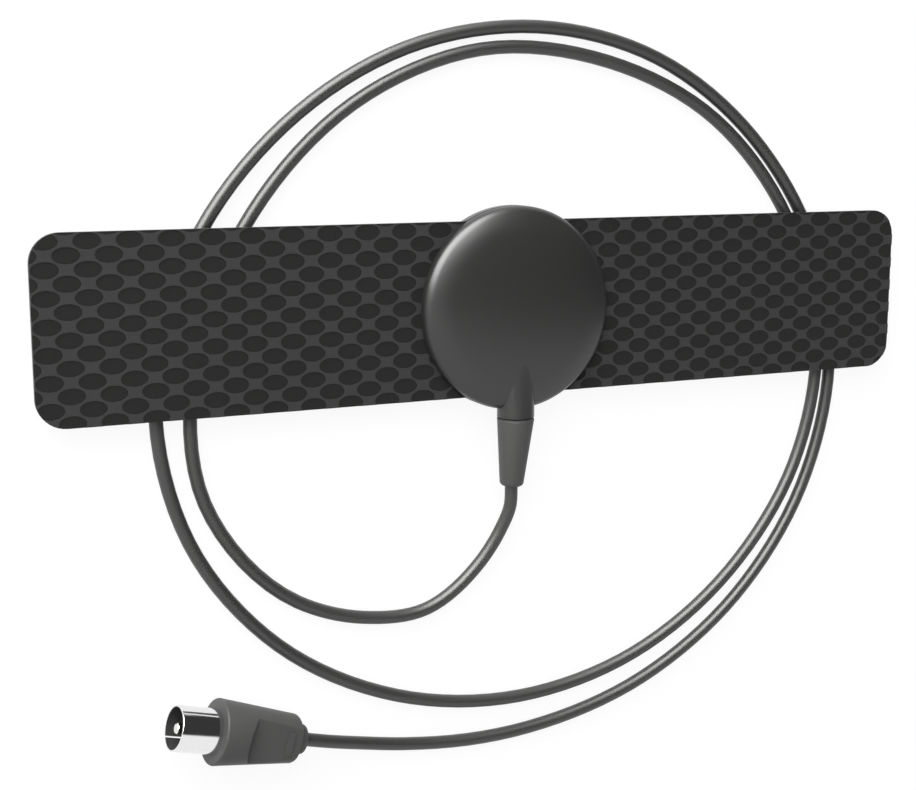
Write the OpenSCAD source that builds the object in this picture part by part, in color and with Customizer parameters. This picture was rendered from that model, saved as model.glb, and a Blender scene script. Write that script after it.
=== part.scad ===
/* [Panel] */
// Length of the flat panel
panel_w = 205; // [150:1:260]
// Height of the flat panel
panel_h = 38; // [32:0.5:41]
// Radius of the panel's corners
panel_corner = 6; // [2:0.5:12]
// Thickness of the front plastic skin
front_skin_t = 0.55; // [0.4:0.05:1]
// Thickness of the rear plastic skin
rear_skin_t = 0.65; // [0.4:0.05:1]
// Thickness of the foil radiators, let into the rear skin
foil_t = 0.1; // [0.05:0.05:0.2]
// Height of the panel's back above the surface that the antenna lies on
panel_back_z = 4; // [3.6:0.1:4.6]
// Bare edge of the panel round the foil
foil_margin = 4; // [2:0.5:8]

/* [Pattern] */
// Distance between the ovals of one row
oval_pitch_x = 8.2; // [7:0.1:10]
// Distance between the ovals of one column
oval_pitch_y = 5.46; // [4.5:0.02:7]
// Width of one oval
oval_w = 5.4; // [3:0.1:6]
// Height of one oval
oval_h = 3.1; // [2:0.1:4]
// Depth of one oval
oval_depth = 0.15; // [0.05:0.05:0.3]
// Shift of the pattern along the panel
oval_shift_x = -1.2; // [-4:0.1:4]
// Shift of the pattern across the panel
oval_shift_y = 0.92; // [-3:0.02:3]

/* [Housing] */
// Diameter of the round housing
housing_d = 44.4; // [43:0.1:52]
// Height of the front cover's crown above the panel
crown_h = 5.7; // [5.4:0.1:7]
// Radius of the front cover's rounded edge
front_round = 2.5; // [1.8:0.1:3]
// Radius of the shoulder between the crown and the rounded edge
shoulder_round = 17; // [14:0.5:19]
// Slope at which the shoulder turns into the rounded edge
shoulder_tilt = 26; // [24:0.5:28]
// Height of the front cover's widest line above the panel
front_lip_h = 0.6; // [0.2:0.1:0.9]
// Radius of the rear cover's rounded edge
rear_round = 3; // [2:0.1:3.4]
// Wall of both covers
cover_wall = 1.5; // [1.2:0.1:1.7]
// Depth and height of the step that makes the seam between the covers
seam_step = 0.3; // [0.2:0.05:0.5]
// Clearance between the panel and the slot in the rear cover
slot_gap = 0.1; // [0.05:0.05:0.3]

/* [Cable outlet] */
// Diameter of the outlet that the boot sits on
spout_d = 8.2; // [7.8:0.1:9]
// Height of the outlet's axis above the panel's front
spout_rise = 0.84; // [0.5:0.02:0.9]
// Length that the outlet stands out of the housing's edge
spout_reach = 1.6; // [1:0.1:4]
// Distance from the housing's centre to the outlet's inner end
spout_start = 11.8; // [11.6:0.1:14]
// Diameter of the boot's neck in the outlet
neck_d = 5; // [4.4:0.1:5.4]
// Diameter of the boot's collar inside the outlet
collar_d = 6.2; // [5.8:0.1:6.4]
// Length of the boot's collar
collar_len = 1.6; // [1:0.1:2.4]
// Thickness of the outlet's end wall
outlet_wall = 1.2; // [0.8:0.1:2]
// Length of the boot outside the outlet
boot_len = 15.5; // [12:0.5:20]
// Diameter of the boot at its far end
boot_tip_d = 5.4; // [4.4:0.1:6]
// Visible gap between the outlet and the boot
boot_gap = 0.3; // [0.1:0.05:0.5]
// Angle that the boot droops towards the table
boot_droop = 6; // [0:0.5:8]
// Angle that the boot leans to the side
boot_lean = 2; // [0:0.5:6]

/* [Cable] */
// Diameter of the cable's jacket
cable_d = 2.9; // [2.4:0.1:3]
// Diameter over the cable's braid
braid_d = 2.3; // [2:0.05:2.3]
// Diameter of the cable's white insulation
insulation_d = 1.7; // [1.4:0.05:1.8]
// Diameter of the cable's inner wire
wire_d = 0.5; // [0.3:0.05:0.6]

/* [Plug] */
// Outer diameter of the plug's metal shell
shell_d = 9.5; // [9.4:0.05:9.6]
// Wall of the metal shell
shell_wall = 0.55; // [0.4:0.05:0.8]
// Length of the metal shell in front of the cover
shell_len = 8.9; // [7:0.1:11]
// Width of the slit along the metal shell
slit_w = 0.5; // [0.3:0.1:1]
// Diameter of the plug's centre pin
pin_d = 2.3; // [2.2:0.05:2.45]
// Distance from the shell's mouth back to the pin's tip
pin_set_back = 0.5; // [0:0.1:2]
// Distance from the shell's mouth back to the insulator
insulator_depth = 7.5; // [5:0.1:8.5]
// Diameter of the plug's cover at the front
plug_front_d = 14; // [12.5:0.1:16]
// Diameter of the plug's cover at the rear
plug_rear_d = 10.3; // [9.6:0.1:12]
// Length of the plug's cover
plug_len = 18.8; // [16:0.1:24]
// Diameter of the short nub that the cable leaves
nub_d = 6.4; // [5:0.1:8]
// Length of the nub
nub_len = 2; // [1:0.1:4]
// Distance between the two flat grips of the plug's cover
grip_t = 8.4; // [8:0.1:9.4]
// Distance from the cover's front to the start of the grips
grip_start = 7.9; // [6:0.1:10]
// Length of the metal shell held inside the cover
shell_seat = 4.9; // [3:0.1:5.5]

/* [Inside] */
// Length of the circuit board
board_w = 20; // [18:0.5:21]
// Thickness of the circuit board
board_t = 0.8; // [0.6:0.1:1]
// Edge of the circuit board beside the outlet
board_bottom = 11.4; // [10.5:0.1:11.5]
// Edge of the circuit board away from the outlet
board_top = 8; // [7:0.5:10]
// Distance of the feed rivets from the centre
rivet_x = 7.5; // [6:0.1:8.2]
// Diameter of a feed rivet's shank
rivet_d = 2; // [1.4:0.1:2.4]
// Distance of the screws from the centre along the panel
screw_x = 13.5; // [13:0.1:14]
// Distance of the screws from the centre across the panel
screw_y = 9.5; // [8:0.1:10]
// Diameter of a screw's thread
screw_d = 1.9; // [1.6:0.1:2.2]
// Diameter of a screw's head
screw_head_d = 3.8; // [3.2:0.1:4]

/* [Hidden] */
$fn = 72;

// Small overlap that keeps cuts and joined shapes clean
cut = 0.1;
// Clearance between pieces that fit into each other
fit_gap = 0.05;

housing_r = housing_d / 2;
panel_t = rear_skin_t + front_skin_t;
panel_front_z = panel_back_z + panel_t;

// Front cover: a shallow crown arc, a shoulder arc and a rounded edge arc, each tangent to the next
edge_x = housing_r - front_round;
shoulder_x = edge_x - (shoulder_round - front_round) * sin(shoulder_tilt);
shoulder_z = front_lip_h - (shoulder_round - front_round) * cos(shoulder_tilt);
shoulder_drop = shoulder_z - crown_h;
crown_r = (pow(shoulder_round, 2) - pow(shoulder_x, 2) - pow(shoulder_drop, 2))
    / (2 * (shoulder_round + shoulder_drop));
crown_z = crown_h - crown_r;
crown_tilt = atan2(shoulder_x, shoulder_z - crown_z);

// Cable outlet
spout_z = panel_front_z + spout_rise;
spout_end = housing_r + spout_reach;
collar_room = 0.2;
chamber_start = spout_end - outlet_wall - collar_len - collar_room;
collar_start = chamber_start + collar_room;
boot_start = spout_end + boot_gap;

// Notches in the panel and the board
notch_gap = 0.2;
throat_gap = 0.6;
wire_notch_end = 7.2;
board_notch_end = 7.6;

// Foil radiators
foil_inner = 4.5;
foil_neck_h = 7;
foil_neck_end = 19;
foil_flare_end = 31;

// Sides of one oval's outline
oval_sides = 8;

// Feed rivets
rivet_y = -1;
rivet_head_d = rivet_d + 1.4;
rivet_head_h = 0.35;

// Screws
boss_d = 4.8;
screw_head_h = 1.2;
counterbore_depth = 1.6;
screw_bite = 2;
screw_gap = 0.2;
panel_screw_gap = 0.3;

// Board and what stands on it
board_z = panel_front_z + board_t;
core_size = [6, 3.6, 2.4];
core_y = 2.4;
core_bore_d = 1.1;
core_bore_x = 1.5;
winding_wire_d = 0.4;
capacitor_size = [2, 1.25, 0.8];
capacitor_pos = [5.5, 5.6];
resistor_size = [2, 1.25, 0.55];
resistor_pos = [5, -5.4];

// Stripped end of the cable: where each layer ends, as a distance from the housing's centre
stub_end = spout_start + 0.4;
braid_end = 9.2;
insulation_end = 8.6;
wire_step = 8.1;
wire_end = 6.2;
clamp_y = 10;

// Plug, which lies on its cone with the cover's front edge and rear on the surface
plug_taper = atan((plug_front_d - plug_rear_d) / 2 / plug_len);
plug_heading = 163.64;
plug_front = [-69.92, -84.73, plug_front_d / 2 * cos(plug_taper)];
plug_back_dir = -[cos(plug_taper) * cos(plug_heading), cos(plug_taper) * sin(plug_heading), sin(plug_taper)];
plug_cable_end = plug_front + (plug_len + nub_len) * plug_back_dir;
slit_angle = 44;
shell_chamfer = 0.15;
shell_collar = 0.4;
collar_proud = 0.05;

// Boot
boot_dir = [-sin(boot_lean) * cos(boot_droop), -cos(boot_lean) * cos(boot_droop), -sin(boot_droop)];
boot_root = [0, -boot_start, spout_z];
boot_cable_end = boot_root + boot_len * boot_dir;

// Route of the cable: points along its middle, from the boot to the plug, two turns round the housing
cable_z = cable_d / 2;
boot_run = 5;
plug_run = 6;
end_gap = 0.02;
cable_route = concat(
    [boot_cable_end + end_gap * boot_dir, boot_cable_end + boot_run * boot_dir, [-2, -50, 2.8],
        [-6.5, -57.2, 1.8]],
    [for (p = [
        [-19.5, -66.5], [-34.5, -66.5], [-49.5, -61], [-69, -37.5], [-70, -6.5], [-57.5, 21.5],
        [-35.5, 43.5], [-6.5, 55], [24.5, 53], [53, 40.5], [74, 17.5], [84, -12], [78.5, -42.5],
        [60.5, -67.5], [34, -84.5], [3.5, -90.5], [-27, -85.5], [-54, -70], [-72.5, -45.5],
        [-78.5, -15], [-70, 15], [-50.5, 39], [-23.5, 55], [7, 60], [37, 54], [63.5, 36.5],
        [81.5, 11.5], [88, -18.5], [81, -48.5], [62.5, -74], [36.5, -91], [6, -98.5]
    ]) [p.x, p.y, cable_z]],
    [[-25, -97.2, 1.6], [-35, -95, 2.4], plug_cable_end + plug_run * plug_back_dir,
        plug_cable_end + end_gap * plug_back_dir]);
cable_steps = 2;
cable_sides = 8;

// Smooth path through the route: cubic pieces whose end slopes weigh both neighbours by length
function unit(v) = v / norm(v);
function neighbour(r, i) = i < 0 ? 2 * r[0] - r[1]
    : i >= len(r) ? 2 * r[len(r) - 1] - r[len(r) - 2] : r[i];
function slope(a, b, c) =
    (unit(b - a) * norm(c - b) + unit(c - b) * norm(b - a)) / (norm(b - a) + norm(c - b));
function on_piece(r, i, u) = let (
        a = neighbour(r, i - 1), b = r[i], c = r[i + 1], d = neighbour(r, i + 2), l = norm(c - b))
    (2 * pow(u, 3) - 3 * pow(u, 2) + 1) * b + (pow(u, 3) - 2 * pow(u, 2) + u) * l * slope(a, b, c)
    + (3 * pow(u, 2) - 2 * pow(u, 3)) * c + (pow(u, 3) - pow(u, 2)) * l * slope(b, c, d);
function smooth_path(r, n) = concat(
    [for (i = [0 : len(r) - 2], k = [0 : n - 1]) on_piece(r, i, k / n)], [r[len(r) - 1]]);
function path_dir(p, i) = unit(unit(p[i + 1] - p[i]) + unit(p[i] - p[i - 1]));
function end_dir(r, last) = last ? unit(r[len(r) - 1] - r[len(r) - 2]) : unit(r[1] - r[0]);
function ring_at(p, t, r, n) = let (side = unit(cross([0, 0, 1], t)), up = cross(t, side))
    [for (k = [0 : n - 1]) p + r * (cos((k + 0.5) * 360 / n) * side + sin((k + 0.5) * 360 / n) * up)];

// Tube of n sides along a smooth path
module tube_along(route, r, n, steps) {
    path = smooth_path(route, steps);
    last = len(path) - 1;
    rings = [for (i = [0 : last])
        ring_at(path[i], i == 0 || i == last ? end_dir(route, i == last) : path_dir(path, i), r, n)];
    points = [for (ring = rings, p = ring) p];
    walls = [for (i = [0 : last - 1], k = [0 : n - 1])
        [i * n + k, (i + 1) * n + k, (i + 1) * n + (k + 1) % n, i * n + (k + 1) % n]];
    start_face = [for (k = [0 : n - 1]) k];
    end_face = [for (k = [n - 1 : -1 : 0]) last * n + k];
    polyhedron(points, concat(walls, [start_face], [end_face]));
}

// Rectangle with round corners, as true arcs
module rounded_plate(w, h, r) {
    square([w - 2 * r, h], center = true);
    square([w, h - 2 * r], center = true);
    for (x = [-1, 1], y = [-1, 1]) translate([x * (w / 2 - r), y * (h / 2 - r)]) circle(r = r);
}

// Polygon with the area of the oval
module oval_shape() {
    n = oval_sides;
    swell = sqrt(2 * PI / (n * sin(360 / n)));
    polygon([for (k = [0 : n - 1])
        swell / 2 * [oval_w * cos((k + 0.5) * 360 / n), oval_h * sin((k + 0.5) * 360 / n)]]);
}

// Staggered ovals over the whole panel, apart from those that the housing hides
module oval_pattern() {
    nx = ceil(panel_w / oval_pitch_x) + 1;
    ny = ceil(panel_h / oval_pitch_y) + 1;
    hidden_r = housing_r - oval_w / 2;
    // Part of an oval that may lie outside the panel's edge
    outside = 0.45;
    for (i = [-nx : nx], j = [-ny : ny]) {
        x = oval_shift_x + i * oval_pitch_x / 2;
        y = oval_shift_y + j * oval_pitch_y / 2;
        inside = abs(x) < panel_w / 2 + outside * oval_w && abs(y) < panel_h / 2 + outside * oval_h;
        if ((i + j) % 2 == 0 && inside && norm([x, y]) > hidden_r) translate([x, y]) oval_shape();
    }
}

module at_screws() {
    for (x = [-1, 1], y = [-1, 1]) translate([x * screw_x, y * screw_y, 0]) children();
}

module at_rivets() {
    for (x = [-1, 1]) translate([x * rivet_x, rivet_y, 0]) children();
}

// What is cut out of both skins: room for the outlet, the stripped cable, the screws and the rivets
module panel_openings() {
    mouth = spout_d / 2 + notch_gap;
    throat = braid_d / 2 + throat_gap;
    translate([-mouth, -panel_h / 2 - cut]) square([2 * mouth, panel_h / 2 + cut - spout_start + notch_gap]);
    translate([-throat, -spout_start - cut]) square([2 * throat, spout_start + cut - wire_notch_end]);
    at_screws() circle(d = screw_d + 2 * panel_screw_gap);
    at_rivets() circle(d = rivet_d + 2 * fit_gap);
}

module skin_shape() {
    difference() {
        rounded_plate(panel_w, panel_h, panel_corner);
        panel_openings();
    }
}

// One radiator: a narrow feed end that flares out to the panel's width
module foil_shape() {
    half = panel_h / 2 - foil_margin;
    neck = foil_neck_h / 2;
    outer = panel_w / 2 - foil_margin;
    difference() {
        polygon([[foil_inner, -neck], [foil_neck_end, -neck], [foil_flare_end, -half], [outer, -half],
            [outer, half], [foil_flare_end, half], [foil_neck_end, neck], [foil_inner, neck]]);
        translate([rivet_x, rivet_y]) circle(d = rivet_d + 2 * fit_gap);
    }
}

module front_skin() {
    color([0.24, 0.235, 0.235])
    translate([0, 0, panel_back_z + rear_skin_t]) {
        linear_extrude(front_skin_t - oval_depth) skin_shape();
        translate([0, 0, front_skin_t - oval_depth]) linear_extrude(oval_depth) difference() {
            skin_shape();
            oval_pattern();
        }
    }
}

module rear_skin() {
    color([0.16, 0.155, 0.155])
    difference() {
        translate([0, 0, panel_back_z]) linear_extrude(rear_skin_t) skin_shape();
        translate([0, 0, panel_back_z + rear_skin_t - foil_t]) linear_extrude(foil_t + cut)
            for (x = [0, 1]) mirror([x, 0]) foil_shape();
    }
}

module radiator() {
    color([0.72, 0.72, 0.7])
    translate([0, 0, panel_back_z + rear_skin_t - foil_t]) linear_extrude(foil_t) foil_shape();
}

module left_radiator() mirror([1, 0, 0]) radiator();

module right_radiator() radiator();

// Half outline of the front cover, drawn upwards from a base line at or below the panel's front
module crown_outline(shrink, base) {
    crown_end = (crown_r - shrink) * sin(crown_tilt);
    shoulder_end = shoulder_x + (shoulder_round - shrink) * sin(shoulder_tilt);
    intersection() {
        translate([0, crown_z]) circle(r = crown_r - shrink, $fn = 360);
        translate([0, base]) square([crown_end, crown_h + cut - base]);
    }
    intersection() {
        translate([shoulder_x, shoulder_z]) circle(r = shoulder_round - shrink, $fn = 180);
        translate([crown_end - cut, base]) square([shoulder_end - crown_end + cut, crown_h - base]);
    }
    intersection() {
        translate([edge_x, front_lip_h]) circle(r = front_round - shrink);
        translate([0, base]) square([housing_r, crown_h - base]);
    }
}

// Half outline of the rear cover, drawn from the table upwards
module dish_outline(shrink, top) {
    r = rear_round - shrink;
    translate([0, shrink]) square([housing_r - rear_round, top - shrink]);
    translate([0, rear_round]) square([housing_r - shrink, top - rear_round]);
    intersection() {
        translate([housing_r - rear_round, rear_round]) circle(r = r);
        square([housing_r, rear_round]);
    }
}

module outlet_along(from, to, d) {
    translate([0, -from, spout_z]) rotate([90, 0, 0]) cylinder(d = d, h = to - from);
}

// Bores along the outlet: neck, collar chamber and the passage for the cable
module outlet_bores() {
    outlet_along(chamber_start, spout_end + cut, neck_d + 2 * fit_gap);
    outlet_along(chamber_start, spout_end - outlet_wall, collar_d + 2 * fit_gap);
    outlet_along(spout_start - cut, chamber_start + cut, cable_d + 2 * fit_gap);
}

module above_seam() {
    translate([-housing_d, -housing_d, panel_front_z]) cube([2 * housing_d, 2 * housing_d, 3 * crown_h]);
}

module below_seam() {
    translate([-housing_d, -housing_d, 0]) cube([2 * housing_d, 2 * housing_d, panel_front_z]);
}

module front_cover() {
    hole_h = screw_bite + screw_gap;
    color([0.3, 0.295, 0.295])
    difference() {
        union() {
            difference() {
                translate([0, 0, panel_front_z]) rotate_extrude() crown_outline(0, 0);
                translate([0, 0, panel_front_z]) rotate_extrude() crown_outline(cover_wall, -cut);
            }
            intersection() {
                outlet_along(spout_start, spout_end, spout_d);
                above_seam();
            }
            intersection() {
                at_screws() translate([0, 0, panel_front_z]) cylinder(d = boss_d, h = crown_h);
                translate([0, 0, panel_front_z]) rotate_extrude() crown_outline(cover_wall / 2, 0);
            }
        }
        outlet_bores();
        at_screws() translate([0, 0, panel_front_z - cut])
            cylinder(d = screw_d + 2 * fit_gap, h = hole_h + cut);
    }
}

module rear_cover() {
    slot_h = panel_h + 2 * slot_gap;
    bridge_w = spout_d + notch_gap;
    color([0.27, 0.265, 0.265])
    difference() {
        union() {
            difference() {
                rotate_extrude() difference() {
                    dish_outline(0, panel_front_z);
                    translate([housing_r - seam_step, panel_front_z - seam_step])
                        square([housing_r, housing_r]);
                }
                rotate_extrude() dish_outline(cover_wall, panel_front_z + cut);
            }
            intersection() {
                outlet_along(spout_start, spout_end, spout_d);
                below_seam();
            }
            at_screws() translate([0, 0, cover_wall / 2])
                cylinder(d = boss_d, h = panel_back_z - cover_wall / 2);
        }
        translate([0, 0, panel_back_z]) linear_extrude(panel_t + cut) difference() {
            square([2 * housing_d, slot_h], center = true);
            translate([-bridge_w / 2, -housing_d]) square([bridge_w, housing_d - spout_start]);
        }
        outlet_bores();
        at_screws() {
            translate([0, 0, -cut]) cylinder(d = screw_head_d + 2 * screw_gap, h = counterbore_depth + cut);
            cylinder(d = screw_d + 2 * screw_gap, h = panel_back_z + cut);
        }
    }
}

module circuit_board() {
    notch = braid_d / 2 + 0.4;
    color([0.1, 0.35, 0.2])
    translate([0, 0, panel_front_z]) linear_extrude(board_t) difference() {
        translate([-board_w / 2, -board_bottom]) square([board_w, board_bottom + board_top]);
        translate([-notch, -board_bottom - cut]) square([2 * notch, board_bottom + cut - board_notch_end]);
        at_rivets() circle(d = rivet_d + 2 * fit_gap);
    }
}

module transformer_core() {
    color([0.2, 0.2, 0.22])
    translate([0, core_y, board_z]) difference() {
        translate([-core_size.x / 2, -core_size.y / 2, 0]) cube(core_size);
        for (x = [-1, 1]) translate([x * core_bore_x, core_size.y / 2 + cut, core_size.z / 2])
            rotate([90, 0, 0]) cylinder(d = core_bore_d, h = core_size.y + 2 * cut);
    }
}

// One wire loop: through a bore, round the outer wall of the core and back beside it
module winding() {
    wall_gap = 0.1;
    bend_r = (core_size.x / 2 + wall_gap + winding_wire_d / 2 - core_bore_x) / 2;
    reach = core_size.y / 2 + wall_gap;
    color([0.75, 0.38, 0.2])
    translate([core_bore_x + bend_r, core_y, board_z + core_size.z / 2]) {
        for (x = [-1, 1]) translate([x * bend_r, reach, 0]) rotate([90, 0, 0])
            cylinder(d = winding_wire_d, h = 2 * reach);
        for (turn = [0, 180]) rotate([0, 0, turn]) translate([0, reach, 0])
            rotate_extrude(angle = 180) translate([bend_r, 0]) circle(d = winding_wire_d);
    }
}

module left_winding() mirror([1, 0, 0]) winding();

module right_winding() winding();

// Feed rivet: clamps the board onto the skins and joins it to the foil
module feed_rivet() {
    color([0.8, 0.78, 0.7])
    translate([rivet_x, rivet_y, panel_back_z - rivet_head_h]) {
        cylinder(d = rivet_head_d, h = rivet_head_h);
        cylinder(d = rivet_d, h = panel_t + board_t + 2 * rivet_head_h);
        translate([0, 0, panel_t + board_t + rivet_head_h]) cylinder(d = rivet_head_d, h = rivet_head_h);
    }
}

module left_rivet() translate([-2 * rivet_x, 0, 0]) feed_rivet();

module right_rivet() feed_rivet();

module chip_part(pos, size) {
    translate([pos.x - size.x / 2, pos.y - size.y / 2, board_z]) cube(size);
}

module input_capacitor() color([0.7, 0.55, 0.35]) mirror([1, 0, 0]) chip_part(capacitor_pos, capacitor_size);

module output_capacitor() color([0.7, 0.55, 0.35]) chip_part(capacitor_pos, capacitor_size);

module bleed_resistor() color([0.1, 0.1, 0.12]) chip_part(resistor_pos, resistor_size);

// Strap over the braid, with a flat foot on the board at each side
module braid_clamp() {
    strap_t = 0.35;
    strap_w = 1.4;
    foot_len = 2;
    inner_d = braid_d + 2 * fit_gap;
    half = inner_d / 2 + strap_t;
    color([0.78, 0.76, 0.7])
    translate([0, -clamp_y + strap_w / 2, 0]) {
        difference() {
            union() {
                intersection() {
                    translate([0, 0, spout_z]) rotate([90, 0, 0]) cylinder(r = half, h = strap_w);
                    translate([-half, -strap_w, board_z]) cube([2 * half, strap_w, 2 * half]);
                }
                for (x = [-1, 0]) translate([x * (half + foot_len), -strap_w, board_z])
                    cube([half + foot_len, strap_w, strap_t]);
            }
            translate([0, cut, spout_z]) rotate([90, 0, 0]) cylinder(d = inner_d, h = strap_w + 2 * cut);
        }
    }
}

module coax_layer(from, to, outer, inner) {
    difference() {
        outlet_along(from, to, outer);
        outlet_along(from - cut, to + cut, inner);
    }
}

module cable_stub() color([0.15, 0.15, 0.15])
    coax_layer(stub_end, collar_start, cable_d, braid_d + 2 * fit_gap);

module cable_braid() color([0.72, 0.7, 0.66])
    coax_layer(braid_end, collar_start, braid_d, insulation_d + 2 * fit_gap);

module cable_insulation() color([0.93, 0.93, 0.9])
    coax_layer(insulation_end, collar_start, insulation_d, wire_d + 2 * fit_gap);

// Inner wire: leaves the insulation, steps up beside the board's notch and lies on its top
module cable_wire() {
    land_z = board_z + wire_d / 2;
    color([0.8, 0.45, 0.25]) {
        outlet_along(wire_step, collar_start, wire_d);
        translate([0, -wire_step, spout_z]) cylinder(d = wire_d, h = land_z - spout_z);
        translate([0, -wire_end, land_z]) rotate([90, 0, 0]) cylinder(d = wire_d, h = wire_step - wire_end);
        for (z = [spout_z, land_z]) translate([0, -wire_step, z]) sphere(d = wire_d);
    }
}

// Side of the boot, from its wide root to its rounded tip
function boot_radius(s) = spout_d / 2 - (spout_d - boot_tip_d) / 2 * pow(s, 1.25);

module boot_outline() {
    tip_round = 0.8;
    rim = 0.25;
    root = 1;
    steps = 12;
    side = boot_len - tip_round;
    tip_r = boot_tip_d / 2;
    polygon(concat(
        [[0, -root], [spout_d / 2 - rim, -root], [spout_d / 2 - rim, 0]],
        [for (k = [1 : steps]) [boot_radius(k / steps), side * k / steps]],
        [[tip_r - tip_round, side], [tip_r - tip_round, boot_len], [0, boot_len]]));
    intersection() {
        translate([tip_r - tip_round, side]) circle(r = tip_round);
        translate([0, side]) square([tip_r, tip_round]);
    }
}

// Moulded boot: a collar and neck held in the outlet, and the tapered part that bends with the cable
module strain_relief() {
    collar_end = spout_end - outlet_wall - collar_room;
    color([0.33, 0.325, 0.32]) {
        outlet_along(collar_start, collar_end, collar_d);
        outlet_along(collar_end - cut, boot_start + cut, neck_d);
        difference() {
            translate(boot_root) rotate([0, 0, -boot_lean]) rotate([90 + boot_droop, 0, 0])
                rotate_extrude() boot_outline();
            translate([-housing_r, -boot_start, 0]) cube([2 * housing_r, housing_r, 2 * housing_r]);
        }
    }
}

module antenna_cable() {
    color([0.27, 0.265, 0.265]) tube_along(cable_route, cable_d / 2, cable_sides, cable_steps);
}

// Puts a shape drawn along +X, from the front of the plug's cover to the mouth, in its place
module at_plug() {
    translate(plug_front) rotate([0, 0, plug_heading]) rotate([0, -plug_taper, 0]) children();
}

// Turns an outline of radius over distance into a solid along +X
module along_x() {
    rotate([0, 90, 0]) rotate_extrude() children();
}

module plug_outline() {
    front_chamfer = 0.5;
    end_round = 1.2;
    nub_chamfer = 0.5;
    front_r = plug_front_d / 2;
    rear_r = plug_rear_d / 2;
    fall = (front_r - rear_r) / plug_len;
    polygon([[0, 0], [front_r - front_chamfer, 0], [front_r - fall * front_chamfer, -front_chamfer],
        [rear_r + fall * end_round, end_round - plug_len], [rear_r - end_round, end_round - plug_len],
        [rear_r - end_round, -plug_len], [nub_d / 2, -plug_len],
        [nub_d / 2, nub_chamfer - plug_len - nub_len], [nub_d / 2 - nub_chamfer, -plug_len - nub_len],
        [0, -plug_len - nub_len]]);
    translate([rear_r + fall * end_round - end_round, end_round - plug_len]) circle(r = end_round);
}

module plug_cover() {
    rib_len = 2;
    rib_w = 4.8;
    rib_h = 0.3;
    rib_back = 3.3;
    grip_len = plug_len - grip_start;
    seat_r = shell_d / 2 + shell_collar + fit_gap;
    color([0.35, 0.34, 0.335])
    at_plug() {
        difference() {
            along_x() plug_outline();
            translate([-shell_seat - fit_gap, 0, 0]) rotate([0, 90, 0])
                cylinder(r = seat_r, h = shell_seat + fit_gap + cut);
            for (side = [-1, 1]) translate([-plug_len - nub_len - cut, -plug_front_d / 2,
                    side > 0 ? grip_t / 2 : -grip_t / 2 - plug_front_d])
                cube([grip_len + nub_len + cut, plug_front_d, plug_front_d]);
        }
        for (side = [0, 1]) mirror([0, 0, side])
            translate([rib_back - rib_len - plug_len, -rib_w / 2, grip_t / 2 - cut])
                cube([rib_len, rib_w, rib_h + cut]);
    }
}

// Metal shell: a slit tube with a wider collar that the cover is moulded round
module plug_shell() {
    outer_r = shell_d / 2;
    inner_r = outer_r - shell_wall;
    collar_r = outer_r + shell_collar;
    edge = shell_chamfer;
    color([0.85, 0.85, 0.86])
    at_plug() difference() {
        along_x() polygon([[inner_r, -shell_seat], [collar_r, -shell_seat], [collar_r, collar_proud],
            [outer_r, collar_proud], [outer_r, shell_len - edge], [outer_r - edge, shell_len],
            [inner_r + edge, shell_len], [inner_r, shell_len - edge]]);
        rotate([slit_angle, 0, 0]) translate([collar_proud + cut, -slit_w / 2, -outer_r - cut])
            cube([shell_len, slit_w, outer_r]);
    }
}

module plug_insulator() {
    color([0.12, 0.12, 0.12])
    at_plug() difference() {
        translate([-shell_seat, 0, 0]) rotate([0, 90, 0])
            cylinder(d = shell_d - 2 * shell_wall - 2 * fit_gap,
                h = shell_seat + shell_len - insulator_depth);
        translate([-shell_seat - cut, 0, 0]) rotate([0, 90, 0])
            cylinder(d = pin_d + 2 * fit_gap, h = shell_seat + shell_len);
    }
}

module plug_pin() {
    tip = shell_len - pin_set_back - pin_d / 2;
    color([0.8, 0.78, 0.74])
    at_plug() {
        translate([-shell_seat, 0, 0]) rotate([0, 90, 0]) cylinder(d = pin_d, h = tip + shell_seat);
        translate([tip, 0, 0]) sphere(d = pin_d);
    }
}

// Screw from the back: head in the counterbore, thread up into the front cover's boss
module screw() {
    head_z = counterbore_depth - screw_head_h;
    recess = [2.2, 0.5, 0.5];
    color([0.55, 0.55, 0.56])
    translate([0, 0, head_z]) difference() {
        union() {
            cylinder(d = screw_head_d, h = screw_head_h);
            cylinder(d = screw_d, h = panel_front_z + screw_bite - head_z);
        }
        for (a = [0, 90]) rotate([0, 0, a]) translate([-recess.x / 2, -recess.y / 2, -cut])
            cube([recess.x, recess.y, recess.z + cut]);
    }
}

module screw_upper_left() translate([-screw_x, screw_y, 0]) screw();

module screw_upper_right() translate([screw_x, screw_y, 0]) screw();

module screw_lower_left() translate([-screw_x, -screw_y, 0]) screw();

module screw_lower_right() translate([screw_x, -screw_y, 0]) screw();

front_cover();
rear_cover();
front_skin();
rear_skin();
left_radiator();
right_radiator();
circuit_board();
transformer_core();
left_winding();
right_winding();
left_rivet();
right_rivet();
input_capacitor();
output_capacitor();
bleed_resistor();
braid_clamp();
cable_stub();
cable_braid();
cable_insulation();
cable_wire();
strain_relief();
antenna_cable();
plug_cover();
plug_shell();
plug_insulator();
plug_pin();
screw_upper_left();
screw_upper_right();
screw_lower_left();
screw_lower_right();
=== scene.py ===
import math

import bmesh
import bpy
from mathutils import Matrix, Vector


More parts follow.
